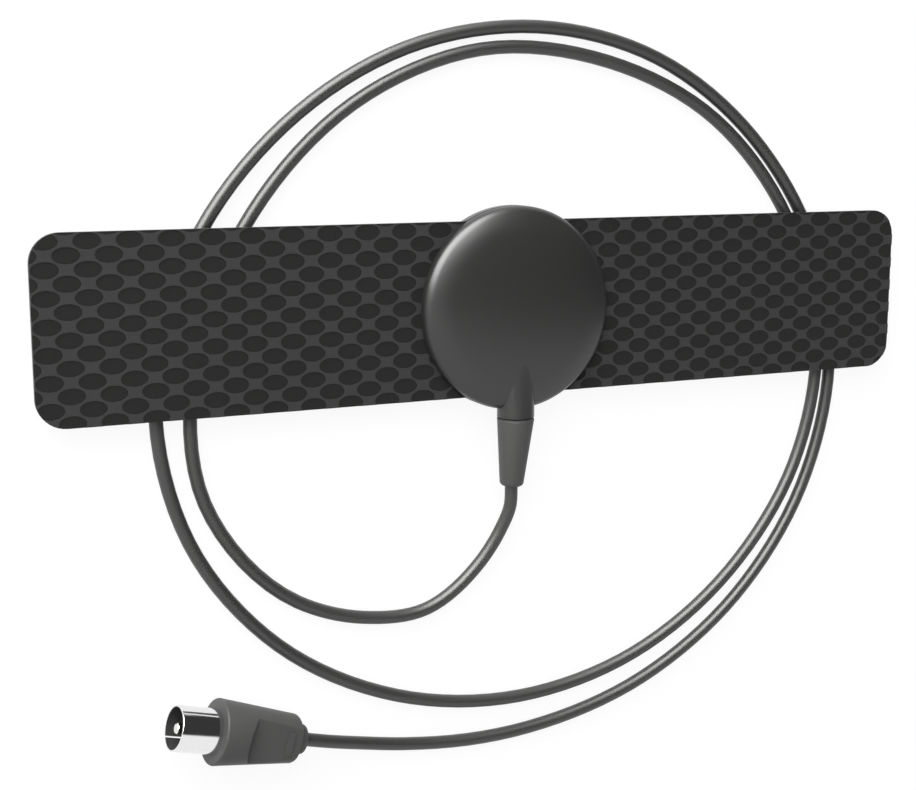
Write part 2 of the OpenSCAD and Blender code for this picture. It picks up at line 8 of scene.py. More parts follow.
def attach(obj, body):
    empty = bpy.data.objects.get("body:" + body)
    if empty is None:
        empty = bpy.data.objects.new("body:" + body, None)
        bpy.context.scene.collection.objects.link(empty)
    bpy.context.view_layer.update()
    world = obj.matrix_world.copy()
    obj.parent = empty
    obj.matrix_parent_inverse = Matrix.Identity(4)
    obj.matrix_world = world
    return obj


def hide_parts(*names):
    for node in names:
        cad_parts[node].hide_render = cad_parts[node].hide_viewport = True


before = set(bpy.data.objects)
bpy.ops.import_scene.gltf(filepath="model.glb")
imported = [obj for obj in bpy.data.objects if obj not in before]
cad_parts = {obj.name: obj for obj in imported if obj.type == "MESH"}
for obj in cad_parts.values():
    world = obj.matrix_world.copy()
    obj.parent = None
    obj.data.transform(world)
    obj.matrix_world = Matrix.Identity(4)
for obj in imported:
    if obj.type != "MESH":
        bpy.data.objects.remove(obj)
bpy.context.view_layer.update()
mm = 0.001
past = 1  # mm by which a cutting tool overshoots the face that it opens
reach, above = 30, 20  # mm that a cutting block spans from the axis, and upwards
sharpAngle = 32  # edges that turn by more degrees than this stay sharp
scene = bpy.context.scene
scene.view_settings.view_transform = "Standard"
upward = Vector((0, 0, 1))
print("frame loaded:", len(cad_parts), "nodes")


class Signal:
    # one socket of a node tree; sums written on it add the nodes that they need
    def __init__(self, graph, socket):
        self.graph = graph
        self.socket = socket

    def maths(self, operation, *values):
        return self.graph.add("ShaderNodeMath", {"operation": operation}, dict(enumerate(values)))

    def __add__(self, other):
        return self.maths("ADD", self, other)

    def __sub__(self, other):
        return self.maths("SUBTRACT", self, other)

    def __rsub__(self, other):
        return self.maths("SUBTRACT", other, self)

    def __mul__(self, other):
        return self.maths("MULTIPLY", self, other)

    def __pow__(self, other):
        return self.maths("POWER", self, other)

    def __gt__(self, other):
        return self.maths("GREATER_THAN", self, other)

    def __lt__(self, other):
        return self.maths("LESS_THAN", self, other)

    def size(self):
        return self.maths("ABSOLUTE", self)

    def also(self, output):
        return Signal(self.graph, self.socket.node.outputs[output])


class Graph:
    # adds nodes to one tree: settings are set first, then the sockets get values or links
    def __init__(self, tree):
        self.tree = tree

    def add(self, kind, settings=None, inputs=None, output=0):
        node = self.tree.nodes.new(kind)
        for name, value in (settings or {}).items():
            setattr(node, name, value)
        for name, value in (inputs or {}).items():
            for item in value if isinstance(value, list) else [value]:
                self.feed(node.inputs[name], item)
        return Signal(self, node.outputs[output]) if len(node.outputs) else node

    def feed(self, socket, value):
        if isinstance(value, Signal):
            self.tree.links.new(value.socket, socket)
        else:
            socket.default_value = value

    def mix(self, share, first, second):
        return self.add("ShaderNodeMix", {"data_type": "RGBA"}, {0: share, 6: first, 7: second}, 2)

    def noise(self, spot, scale, detail=2.0):
        return self.add("ShaderNodeTexNoise", {}, {"Vector": spot, "Scale": scale, "Detail": detail})

    def bump(self, height, strength, depth):
        # depth in mm
        return self.add("ShaderNodeBump", {}, {
            "Strength": strength, "Distance": depth * mm, "Height": height})

    def ramp(self, value, low, high, top=1.0):
        # a smooth step from nothing at low to top at high
        return self.add("ShaderNodeMapRange", {"interpolation_type": "SMOOTHSTEP"}, {
            0: value, 1: low, 2: high, 3: 0.0, 4: top})

    def split(self, vector):
        return self.add("ShaderNodeSeparateXYZ", {}, {0: vector})


def shade(value, warmth=0.0):
    # a plain grey, with a little red over blue
    return (value * (1 + warmth), value, value * (1 - warmth), 1)


def scaled(colour, factor):
    return tuple(channel * factor for channel in colour[:3]) + (1,)


class Finish:
    # a material: shader constants by name, and the textures that every surface has
    def __init__(self, name, **constants):
        self.material = bpy.data.materials.new(name)
        self.material.use_nodes = True
        self.graph = Graph(self.material.node_tree)
        self.shader = self.material.node_tree.nodes["Principled BSDF"]
        self.spot = self.graph.add("ShaderNodeTexCoord", output="Object")
        self.feed(**constants)

    def feed(self, **values):
        for name, value in values.items():
            self.graph.feed(self.shader.inputs[name.replace("_", " ")], value)

    def grain(self, scale, strength):
        self.feed(Normal=self.graph.bump(self.graph.noise(self.spot, scale), strength, 0.02))

    def vary(self, texture, colour, spread, roughness, drift):
        # the colour by a share each way, and the roughness by half of drift each way
        self.feed(Base_Color=self.graph.mix(texture, scaled(colour, 1 - spread), scaled(colour, 1 + spread)),
                  Roughness=(texture - 0.5) * drift + roughness)

    def mottled(self, colour, spread, roughness, scale=45, drift=0.08):
        # slow clouds in the colour and in the gloss
        self.vary(self.graph.noise(self.spot, scale, 3.0), colour, spread, roughness, drift)


def mouldedPlastic(name, colour, roughness, gloss, grainScale, grain, spread=0.06):
    finish = Finish(name, Specular_IOR_Level=gloss)
    finish.mottled(colour, spread, roughness)
    finish.grain(grainScale, grain)
    return finish.material


def drawnMetal(name, colour, roughness, stretch=(300, 300, 300)):
    finish = Finish(name, Metallic=1.0)
    stretched = finish.graph.add("ShaderNodeMapping", {}, {"Vector": finish.spot, "Scale": stretch})
    lines = finish.graph.noise(stretched, 4.0, 3.0)
    finish.vary(lines, colour, 0.05, roughness, 0.1)
    finish.feed(Normal=finish.graph.bump(lines, 0.15, 0.01))
    return finish.material


def makePiece(name, mesh, *materials):
    piece = bpy.data.objects.new(name, mesh)
    scene.collection.objects.link(piece)
    for material in materials:
        piece.data.materials.append(material)
    return piece


def meshFrom(name, work, matrix=None):
    bmesh.ops.recalc_face_normals(work, faces=work.faces)
    if matrix is not None:
        work.transform(matrix)
    mesh = bpy.data.meshes.new(name)
    work.to_mesh(mesh)
    work.free()
    return mesh


def turned(profile, sides, matrix=None):
    # closed shape turned about Z from an outline of (radius, height) in mm
    work = bmesh.new()
    rings = []
    for radius, height in profile:
        count = 1 if radius < 1e-6 else sides
        rings.append([work.verts.new((radius * mm * math.cos(math.tau * k / sides),
                                      radius * mm * math.sin(math.tau * k / sides), height * mm))
                      for k in range(count)])
    pairs = list(zip(rings, rings[1:] + ([] if len(rings[0]) == 1 else rings[:1])))
    for first, second in pairs:
        if len(first) == 1 and len(second) == 1:
            continue
        for k in range(sides):
            ring = [first[k % len(first)], first[(k + 1) % len(first)],
                    second[(k + 1) % len(second)], second[k % len(second)]]
            work.faces.new(list(dict.fromkeys(ring)))
    return meshFrom("turned", work, matrix)


def arc(centre, radius, start, stop, steps):
    # points of an arc in an outline, angles in degrees from the radius axis
    return [(centre[0] + radius * math.cos(math.radians(start + (stop - start) * k / steps)),
             centre[1] + radius * math.sin(math.radians(start + (stop - start) * k / steps)))
            for k in range(steps + 1)]


def block(low, high, matrix=None):
    work = bmesh.new()
    bmesh.ops.create_cube(work, size=1)
    low, high = Vector(low) * mm, Vector(high) * mm
    size = high - low
    work.transform(Matrix.Translation((low + high) / 2) @ Matrix.Diagonal((*size, 1)))
    return meshFrom("block", work, matrix)


def rod(start, stop, radius, sides=64):
    # straight round bar between two points in mm
    start, stop = Vector(start), Vector(stop)
    turn = (stop - start).to_track_quat("Z", "Y").to_matrix().to_4x4()
    place = Matrix.Translation(start * mm) @ turn
    length = (stop - start).length
    return turned([(0, 0), (radius, 0), (radius, length), (0, length)], sides, place)


def bakePiece(piece):
    # turns a piece and its modifiers into one plain mesh, smooth apart from its sharp edges
    name = piece.name
    bpy.context.view_layer.update()
    depsgraph = bpy.context.evaluated_depsgraph_get()
    mesh = bpy.data.meshes.new_from_object(piece.evaluated_get(depsgraph), depsgraph=depsgraph)
    piece.modifiers.clear()
    if piece.type == "MESH":
        old = piece.data
        piece.data = mesh
        bpy.data.meshes.remove(old)
    else:
        bpy.data.objects.remove(piece)
        piece = makePiece(name, mesh)
    mesh.name = name
    mesh.shade_smooth()
    mesh.set_sharp_from_angle(angle=math.radians(sharpAngle))
    return piece


def combine(piece, steps):
    # joins to a piece, or cuts from it, one closed mesh after another
    for operation, mesh in steps:
        tool = makePiece("tool", mesh)
        modifier = piece.modifiers.new(operation, "BOOLEAN")
        modifier.operation, modifier.solver, modifier.object = operation, "MANIFOLD", tool
        bakePiece(piece)
        bpy.data.objects.remove(tool)
        bpy.data.meshes.remove(mesh)
    return piece


def dress(piece, material, slot, *nodes):
    # gives a finished piece its material and its body, and hides the CAD nodes that it stands for
    piece.data.materials.clear()
    piece.data.materials.append(material)
    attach(piece, "root")
    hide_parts(*nodes)
    return piece


def soften(piece, width, segments):
    bevel = piece.modifiers.new("edges", "BEVEL")
    bevel.width, bevel.segments = width * mm, segments
    bevel.limit_method, bevel.angle_limit = "ANGLE", math.radians(sharpAngle)
    bevel.use_clamp_overlap, bevel.miter_outer = True, "MITER_ARC"
    return bakePiece(piece)


def growTree(name, inputs):
    # a Geometry Nodes tree with named inputs; returns its graph, the signals of its inputs and their names
    tree = bpy.data.node_groups.new(name, "GeometryNodeTree")
    kinds = {float: "NodeSocketFloat", int: "NodeSocketInt", tuple: "NodeSocketVector"}
    tree.interface.new_socket("Geometry", in_out="INPUT", socket_type="NodeSocketGeometry")
    tree.interface.new_socket("Geometry", in_out="OUTPUT", socket_type="NodeSocketGeometry")
    for label, value in inputs.items():
        kind = kinds.get(type(value), "NodeSocketMaterial")
        tree.interface.new_socket(label, in_out="INPUT", socket_type=kind)
    graph = Graph(tree)
    start = graph.add("NodeGroupInput")
    return graph, start.also("Geometry"), {label: start.also(label) for label in inputs}


def runTree(piece, graph, result, inputs):
    # ends the tree, sets the modifier's inputs by identifier, and bakes the result
    graph.add("NodeGroupOutput", {}, {0: result})
    modifier = piece.modifiers.new(graph.tree.name, "NODES")
    modifier.node_group = graph.tree
    for item in graph.tree.interface.items_tree:
        if item.in_out == "INPUT" and item.name in inputs:
            modifier[item.identifier] = inputs[item.name]
    return bakePiece(piece)


viewpoint = {
    "place": Vector((-0.1476, 0.0382, 0.3011)),
    "right": Vector((0.91082, -0.00030, 0.41281)),
    "up": Vector((0.07092, 0.98524, -0.15578)),
    "forward": Vector((0.40667, -0.17116, -0.89740)),
    "lens": 60.01,
    "sensor": 36,
    "clip": (0.01, 20),
}
lensFacts = bpy.data.cameras.new("camera")
lensFacts.lens, lensFacts.sensor_width = viewpoint["lens"], viewpoint["sensor"]
lensFacts.clip_start, lensFacts.clip_end = viewpoint["clip"]
camera = bpy.data.objects.new("camera", lensFacts)
scene.collection.objects.link(camera)
axes = Matrix((viewpoint["right"], viewpoint["up"], -viewpoint["forward"])).transposed()
camera.matrix_world = Matrix.Translation(viewpoint["place"]) @ axes.to_4x4()
scene.camera = camera
print("camera placed")


# sizes in mm and angles in degrees, which more than one piece needs
panel = {"width": 205, "height": 38, "corner": 6, "backZ": 4, "frontZ": 5.2, "skin": 0.55, "notchGap": 0.2,
         "throat": 1.75, "throatEnd": 7.2}
housing = {"radius": 22.2, "crown": 5.7, "shoulder": 17, "tilt": 26, "edge": 2.5, "lip": 0.6, "wall": 1.5,
           "rearEdge": 3, "seam": 0.3, "slotGap": 0.1, "sides": 192}
outlet = {"radius": 4.1, "height": 6.04, "inner": 11.8, "end": 23.8, "chamber": 20.8, "chamberEnd": 22.6,
          "collar": 3.15, "neck": 2.55, "cable": 1.5}
boot = {"start": 24.1, "length": 15.5, "root": 4.1, "tip": 2.7, "droop": 6, "lean": 0.5, "rim": 0.15,
        "endRound": 0.8, "collar": 3.1, "neck": 2.5, "room": 0.2}
plug = {"place": Vector((-69.92, -84.73, 6.9664)), "heading": 163.64, "taper": 5.62, "front": 7, "rear": 5.15,
        "length": 18.8, "nub": 3.2, "nubLength": 2}
lead = {"diameter": 2.9, "height": 1.45, "length": 1.03, "steps": 8, "sides": 24}


def bootDirection():
    droop, lean = math.radians(boot["droop"]), math.radians(boot["lean"])
    return Vector((-math.sin(lean) * math.cos(droop), -math.cos(lean) * math.cos(droop), -math.sin(droop)))


def plugDirection():
    # the plug lies on its tapered side, so its axis rises by the taper
    heading, taper = math.radians(plug["heading"]), math.radians(plug["taper"])
    return Vector((math.cos(taper) * math.cos(heading), math.cos(taper) * math.sin(heading), math.sin(taper)))


bootEnd = Vector((0, -boot["start"], outlet["height"])) + boot["length"] * bootDirection()
plugEnd = plug["place"] - (plug["length"] + plug["nubLength"]) * plugDirection()
onTable = [
    (-19.5, -66.5), (-34.5, -66.5), (-49.5, -61), (-69, -37.5), (-70, -6.5), (-57.5, 21.5), (-35.5, 43.5),
    (-6.5, 55), (24.5, 53), (53, 40.5), (74, 17.5), (84, -12), (78.5, -42.5), (60.5, -67.5), (34, -84.5),
    (3.5, -90.5), (-27, -85.5), (-54, -70), (-72.5, -45.5), (-78.5, -15), (-70, 15), (-50.5, 39),
    (-23.5, 55), (7, 60), (37, 54), (63.5, 36.5), (81.5, 11.5), (88, -18.5), (81, -48.5), (62.5, -74),
    (36.5, -91), (6, -98.5),
]
route = [bootEnd, bootEnd + 5 * bootDirection(), Vector((-2, -50, 2.8)), Vector((-6.5, -57.2, 1.8))]
route += [Vector((x, y, lead["height"])) for x, y in onTable]
route += [Vector((-25, -97.2, 1.6)), Vector((-35, -95, 2.4)), plugEnd - 6 * plugDirection(), plugEnd]


def smoothPath(points, steps):
    # cubic pieces whose end slopes weigh both neighbours by length
    padded = [2 * points[0] - points[1], *points, 2 * points[-1] - points[-2]]

    def slope(a, b, c):
        before, after = (b - a).length, (c - b).length
        return ((b - a).normalized() * after + (c - b).normalized() * before) / (before + after)

    path = []
    for a, b, c, d in zip(padded, padded[1:], padded[2:], padded[3:]):
        length, leave, arrive = (c - b).length, slope(a, b, c), slope(b, c, d)
        for k in range(steps):
            u = k / steps
            path.append((2 * u**3 - 3 * u**2 + 1) * b + (u**3 - 2 * u**2 + u) * length * leave
                        + (3 * u**2 - 2 * u**3) * c + (u**3 - u**2) * length * arrive)
    return path + [points[-1]]


def cableFinish():
    finish = Finish("cableJacket", Specular_IOR_Level=0.65)
    finish.mottled(shade(0.042, 0.02), 0.08, 0.4, scale=60)
    finish.grain(2600, 0.12)
    return finish.material


leadPath = [Vector((p.x, p.y, max(p.z, lead["height"]))) * mm for p in smoothPath(route, lead["steps"])]


def makeLead():
    curve = bpy.data.curves.new("leadLine", "CURVE")
    curve.dimensions = "3D"
    spline = curve.splines.new("POLY")
    spline.points.add(len(leadPath) - 1)
    for point, place in zip(spline.points, leadPath):
        point.co = (*place, 1)
    inputs = {"Radius": lead["diameter"] / 2 * mm, "Sides": lead["sides"], "Jacket": cableFinish()}
    graph, source, given = growTree("leadAlongRoute", inputs)
    ring = graph.add("GeometryNodeCurvePrimitiveCircle", {}, {"Resolution": given["Sides"],
                                                              "Radius": given["Radius"]})
    tube = graph.add("GeometryNodeCurveToMesh", {}, {"Curve": source, "Profile Curve": ring,
                                                     "Fill Caps": True})
    dressed = graph.add("GeometryNodeSetMaterial", {}, {"Geometry": tube, "Material": given["Jacket"]})
    return runTree(makePiece("antennaLead", curve), graph, dressed, inputs)


antennaLead = makeLead()
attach(antennaLead, "root")
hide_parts("antenna_cable")
print("lead laid:", round(sum((b - a).length for a, b in zip(leadPath, leadPath[1:])), 4), "m")


pattern = {"pitchX": 8.2, "pitchY": 5.46, "width": 5.5, "height": 3.3, "depth": 0.15, "shiftX": -1.2,
           "shiftY": 0.92, "sides": 28, "columns": 29, "rows": 11, "margin": 0.45}


def panelOutline():
    # corner arcs and the notch that takes the outlet, anticlockwise in mm
    halfX, halfY, corner = panel["width"] / 2, panel["height"] / 2, panel["corner"]
    points = []
    for x, y, start in ((1, -1, -90), (1, 1, 0), (-1, 1, 90), (-1, -1, 180)):
        points += arc((x * (halfX - corner), y * (halfY - corner)), corner, start, start + 90, 10)
    mouth, step = outlet["radius"] + panel["notchGap"], panel["notchGap"] - outlet["inner"]
    throat, end = panel["throat"], -panel["throatEnd"]
    return points + [(-mouth, -halfY), (-mouth, step), (-throat, step), (-throat, end),
                     (throat, end), (throat, step), (mouth, step), (mouth, -halfY)]


def sheetOf(outline, low, high):
    work = bmesh.new()
    floor = work.faces.new([work.verts.new((x * mm, y * mm, low * mm)) for x, y in outline])
    raised = bmesh.ops.extrude_face_region(work, geom=[floor])
    moved = [v for v in raised["geom"] if isinstance(v, bmesh.types.BMVert)]
    bmesh.ops.translate(work, verts=moved, vec=(0, 0, (high - low) * mm))
    return meshFrom("sheet", work)


def latticeFinish():
    finish = Finish("panelLattice", Specular_IOR_Level=0.25)
    finish.mottled(shade(0.046, 0.01), 0.08, 0.5, scale=14, drift=0.06)
    finish.grain(2200, 0.3)
    return finish.material


def ovalFinish():
    finish = Finish("panelOvals", Specular_IOR_Level=0.12)
    finish.mottled(shade(0.022, 0.02), 0.1, 0.55, scale=14, drift=0.06)
    finish.grain(3000, 0.4)
    return finish.material


def makePanelFront():
    front, depth = panel["frontZ"], pattern["depth"]
    lattice, ovals = latticeFinish(), ovalFinish()
    piece = makePiece("panelFront", sheetOf(panelOutline(), front - panel["skin"], front), lattice, ovals)
    inputs = {"Pitch X": pattern["pitchX"] * mm, "Pitch Y": pattern["pitchY"] * mm,
              "Oval": (pattern["width"] * mm / 2, pattern["height"] * mm / 2, 1.0),
              "Depth": depth * mm,
              "Shift": (pattern["shiftX"] * mm, pattern["shiftY"] * mm, front * mm),
              "Hidden Radius": (housing["radius"] - pattern["width"] / 2) * mm,
              "Columns": pattern["columns"], "Rows": pattern["rows"], "Sides": pattern["sides"],
              "Lattice": lattice, "Ovals": ovals}
    graph, source, given = growTree("ovalsOverPanel", inputs)

    def grid(shift):
        # one of the two staggered grids, moved by a share of the pitch
        sheet = graph.add("GeometryNodeMeshGrid", {}, {
            "Size X": given["Pitch X"] * (given["Columns"] - 1),
            "Size Y": given["Pitch Y"] * (given["Rows"] - 1),
            "Vertices X": given["Columns"], "Vertices Y": given["Rows"]})
        offset = graph.add("ShaderNodeCombineXYZ", {}, {
            "X": given["Pitch X"] * shift, "Y": given["Pitch Y"] * shift})
        place = graph.add("ShaderNodeVectorMath", {"operation": "ADD"}, {0: given["Shift"], 1: offset})
        return graph.add("GeometryNodeTransform", {}, {"Geometry": sheet, "Translation": place})

    points = graph.add("GeometryNodeJoinGeometry", {}, {0: [grid(0.0), grid(0.5)]})
    # no ovals beneath the housing, nor where less than a sliver would reach the panel
    x = graph.split(graph.add("GeometryNodeInputPosition"))
    y = x.also("Y")
    hidden = (x ** 2.0 + y ** 2.0) ** 0.5 < given["Hidden Radius"]
    farX = (panel["width"] / 2 + pattern["margin"] * pattern["width"]) * mm
    farY = (panel["height"] / 2 + pattern["margin"] * pattern["height"]) * mm
    gone = hidden + ((x.size() > farX) + (y.size() > farY))
    kept = graph.add("GeometryNodeDeleteGeometry", {"domain": "POINT"}, {
        "Geometry": points, "Selection": gone})
    stamp = graph.add("GeometryNodeMeshCylinder", {}, {
        "Vertices": given["Sides"], "Radius": 1.0, "Depth": given["Depth"] * 2})
    stamps = graph.add("GeometryNodeInstanceOnPoints", {}, {
        "Points": kept, "Instance": stamp, "Scale": given["Oval"]})
    real = graph.add("GeometryNodeRealizeInstances", {}, {0: stamps})
    cut = graph.add("GeometryNodeMeshBoolean", {"operation": "DIFFERENCE", "solver": "MANIFOLD"},
                    {"Mesh 1": source, "Mesh 2": real})
    dressed = graph.add("GeometryNodeSetMaterial", {}, {"Geometry": cut, "Material": given["Lattice"]})
    # the ovals' floors look up and lie about one depth below the front
    height = graph.split(graph.add("GeometryNodeInputPosition")).also("Z")
    facing = graph.split(graph.add("GeometryNodeInputNormal")).also("Z")
    sunk = (height < (front - depth / 4) * mm) * (height > (front - depth * 1.5) * mm) * (facing > 0.5)
    dressed = graph.add("GeometryNodeSetMaterial", {}, {
        "Geometry": dressed, "Selection": sunk, "Material": given["Ovals"]})
    return runTree(piece, graph, dressed, inputs)


panelFront = makePanelFront()
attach(panelFront, "root")
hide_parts("front_skin")
print("panel front patterned:", len(panelFront.data.polygons), "faces")


def crownOutline(shrink):
    # crown, shoulder and edge arcs from the pole out to the widest line and down to the panel's front
    edge, lip, crown = housing["edge"], housing["lip"], housing["crown"]
    shoulder, tilt, base = housing["shoulder"], housing["tilt"], panel["frontZ"]
    edgeX = housing["radius"] - edge
    shoulderX = edgeX - (shoulder - edge) * math.sin(math.radians(tilt))
    shoulderZ = lip - (shoulder - edge) * math.cos(math.radians(tilt))
    drop = shoulderZ - crown
    bigRadius = (shoulder**2 - shoulderX**2 - drop**2) / (2 * (shoulder + drop))
    crownTilt = math.degrees(math.atan2(shoulderX, shoulderZ - crown + bigRadius))
    low = math.degrees(math.asin(-lip / (edge - shrink))) if lip < edge - shrink else -90
    return (arc((0, base + crown - bigRadius), bigRadius - shrink, 90, 90 - crownTilt, 24)
            + arc((shoulderX, base + shoulderZ), shoulder - shrink, 90 - crownTilt, 90 - tilt, 16)[1:]
            + arc((edgeX, base + lip), edge - shrink, 90 - tilt, low, 14)[1:])


post = {"x": 13.5, "y": 9.5, "radius": 2.4, "bossTop": 2.9, "pilot": 1, "pilotTop": 2.2, "hole": 1.15,
        "bore": 2.1, "boreTop": 1.6}


def screwPlaces():
    return [(x * post["x"], y * post["y"]) for x in (-1, 1) for y in (-1, 1)]


def outletRod(near, far, radius, sides=64):
    # a bar along the outlet, between two distances from the housing's axis
    return rod((0, -near, outlet["height"]), (0, -far, outlet["height"]), radius, sides)


def outletTube():
    return [("UNION", outletRod(outlet["inner"], outlet["end"], outlet["radius"], 96))]


def outletBores():
    # neck, collar chamber and the passage for the cable
    return [("DIFFERENCE", outletRod(*bore)) for bore in (
        (outlet["chamber"], outlet["end"] + past, outlet["neck"]),
        (outlet["chamber"], outlet["chamberEnd"], outlet["collar"]),
        (outlet["inner"] - past, outlet["chamber"] + 0.1, outlet["cable"]))]


def makeFrontCover():
    base = panel["frontZ"]
    outline = crownOutline(0) + crownOutline(housing["wall"])[::-1]
    piece = makePiece("frontCover", turned(outline, housing["sides"]))
    steps = outletTube()
    steps += [("UNION", rod((x, y, base), (x, y, base + post["bossTop"]), post["radius"], 32))
              for x, y in screwPlaces()]
    steps += [("DIFFERENCE", block((-reach, -reach, 0), (reach, reach, base)))] + outletBores()
    steps += [("DIFFERENCE", rod((x, y, base - past), (x, y, base + post["pilotTop"]), post["pilot"], 24))
              for x, y in screwPlaces()]
    return combine(piece, steps)


def rearOutline(shrink, top):
    # from the pole on the table out to the rounded edge and up
    r = housing["rearEdge"]
    return [(0, shrink)] + arc((housing["radius"] - r, r), r - shrink, -90, 0, 14) + top


def makeRearCover():
    radius, seam, wall = housing["radius"], housing["seam"], housing["wall"]
    base, back = panel["frontZ"], panel["backZ"]
    outer = rearOutline(0, [(radius, base - seam), (radius - seam, base - seam), (radius - seam, base)])
    inner = rearOutline(wall, [(radius - wall, base)])
    piece = makePiece("rearCover", turned(outer + inner[::-1], housing["sides"]))
    slot, bridge = panel["height"] / 2 + housing["slotGap"], outlet["radius"] + housing["slotGap"]
    inside = past - outlet["inner"]
    steps = outletTube() + [("DIFFERENCE", block((-reach, -reach, base), (reach, reach, above)))]
    steps += [("UNION", rod((x, y, wall / 2), (x, y, back), post["radius"], 32)) for x, y in screwPlaces()]
    steps += [("DIFFERENCE", block(low, high)) for low, high in (
        ((-reach, -outlet["inner"], back), (reach, slot, above)),
        ((bridge, -slot, back), (reach, inside, above)),
        ((-reach, -slot, back), (-bridge, inside, above)))]
    steps += outletBores()
    for x, y in screwPlaces():
        steps += [("DIFFERENCE", rod((x, y, -past), (x, y, post["boreTop"]), post["bore"], 40)),
                  ("DIFFERENCE", rod((x, y, past), (x, y, back + past), post["hole"], 24))]
    return combine(piece, steps)


coverPlastic = mouldedPlastic("coverPlastic", shade(0.029, 0.02), 0.33, 0.62, 1400, 0.1)
frontCover = dress(makeFrontCover(), coverPlastic, "cover_plastic", "front_cover")
rearCover = dress(makeRearCover(), coverPlastic, "cover_plastic", "rear_cover")
print("housing turned")


def makeBoot():
    root, end, rim, room = boot["root"], boot["endRound"], boot["rim"], boot["room"]
    outline = [(0, -past), (root - rim, -past)] + arc((root - rim, rim), rim, -90, 0, 4)
    outline += arc((boot["tip"] - end, boot["length"] - end), end, 0, 90, 8) + [(0, boot["length"])]
    place = Matrix.Translation(Vector((0, -boot["start"], outlet["height"])) * mm)
    turn = bootDirection().to_track_quat("Z", "Y").to_matrix().to_4x4()
    piece = makePiece("cableBoot", turned(outline, 96, place @ turn))
    collarStart, collarEnd = outlet["chamber"] + room, outlet["chamberEnd"] - room
    return combine(piece, [
        ("DIFFERENCE", block((-reach, -boot["start"], 0), (reach, 0, above))),
        ("UNION", outletRod(collarEnd - room, boot["start"] + room, boot["neck"])),
        ("UNION", outletRod(collarStart, collarEnd, boot["collar"]))])


bootPlastic = mouldedPlastic("bootPlastic", shade(0.08, 0.012), 0.5, 0.35, 1500, 0.3)
cableBoot = dress(makeBoot(), bootPlastic, "boot_plastic", "strain_relief")
print("boot made")


def plugPlace():
    # the plug's own Z runs from the cover's front to the mouth, its X points up
    direction = plugDirection()
    side = direction.cross(upward).normalized()
    up = side.cross(direction)
    return Matrix.Translation(plug["place"] * mm) @ Matrix((up, side, direction)).transposed().to_4x4()


cover = {"frontRound": 0.5, "frontInset": 0.55, "sideTilt": 6, "endRound": 1.2, "nubRound": 0.6,
         "nubFoot": 0.1, "grip": 3.9, "gripStart": 5.7, "bulge": 7.8, "edgeRound": 0.3}
rib = {"start": 2.0, "end": 3.5, "half": 2.4, "high": 0.35, "sunk": 0.1}
shell = {"radius": 4.75, "wall": 0.4, "length": 8.9, "edge": 0.08, "seat": 4.9, "flare": 0.4, "coneTop": 0.15,
         "gap": 0.01, "proud": 0.01, "slit": 0.32, "slitAngle": 43, "slitStart": 0.1, "shadeMargin": 0.05}
pin = {"radius": 1.15, "setBack": 0.4, "chamfer": 0.2}


def blockBeside(side, near, far, low, high):
    # on one side of the plug's axis, from near to far along its X, with its limits in Y and Z
    left, right = sorted((side * near, side * far))
    return block((left, *low), (right, *high))


def makePlugCover():
    front, rear, length, nub = plug["front"], plug["rear"], plug["length"], plug["nub"]
    back, fall = length + plug["nubLength"], (front - rear) / length
    start, tilt, end, tip = cover["frontRound"], cover["sideTilt"], cover["endRound"], cover["nubRound"]
    outline = ([(0, 0), (front - start, 0)] + arc((front - cover["frontInset"], -start), start, 80, tilt, 5)
               + arc((rear + fall * end - end, end - length), end, tilt, -90, 8)
               + [(nub + cover["nubFoot"], -length)] + arc((nub - tip, tip - back), tip, 0, -90, 6)
               + [(0, -back)])
    piece = makePiece("plugCover", turned(outline, 96))
    grip, bulge, wide = cover["grip"], cover["bulge"], plug["front"] + 3
    middle = -cover["gripStart"] - bulge
    steps = [("DIFFERENCE", blockBeside(side, grip, wide, (-wide, -back - past), (wide, middle)))
             for side in (-1, 1)]
    steps += [("DIFFERENCE", rod((side * grip, 0, middle), (side * wide, 0, middle), bulge, 96))
              for side in (-1, 1)]
    soften(combine(piece, steps), cover["edgeRound"], 3)
    mouth = shell["radius"] + shell["gap"]
    seat = mouth + shell["flare"]
    bore = [(0, -shell["seat"]), (seat, -shell["seat"]), (seat, -shell["flare"]), (mouth, -shell["coneTop"]),
            (mouth, shell["proud"]), (0, shell["proud"])]
    low, high = (-rib["half"], rib["start"] - length), (rib["half"], rib["end"] - length)
    steps = [("DIFFERENCE", turned(bore, 96))]
    steps += [("UNION", blockBeside(side, grip - rib["sunk"], grip + rib["high"], low, high))
              for side in (-1, 1)]
    combine(piece, steps)
    piece.data.transform(plugPlace())
    return piece


def makePlugPin():
    radius, chamfer, end = pin["radius"], pin["chamfer"], shell["length"] - pin["setBack"]
    outline = [(0, -shell["seat"]), (radius, -shell["seat"]), (radius, end - chamfer),
               (radius - chamfer, end), (0, end)]
    piece = makePiece("plugPin", turned(outline, 48))
    piece.data.transform(plugPlace())
    return piece


def makePlugShell():
    outer, end, edge, half = shell["radius"], shell["length"], shell["edge"], shell["slit"] / 2
    inner, root = outer - shell["wall"], outer + shell["flare"]
    outline = [(inner, -shell["seat"]), (root, -shell["seat"]), (root, -shell["flare"]),
               (outer, -shell["coneTop"]), (outer, end - edge)]
    outline += arc((outer - edge, end - edge), edge, 0, 90, 4)[1:]
    outline += arc((inner + edge, end - edge), edge, 90, 180, 4)
    piece = makePiece("plugShell", turned(outline, 128))
    turn = Matrix.Rotation(math.radians(shell["slitAngle"]), 4, "Z")
    slit = block((-outer - past, -half, shell["slitStart"]), (0, half, end + past), turn)
    combine(piece, [("DIFFERENCE", slit)])
    piece.data.transform(plugPlace())
    return piece


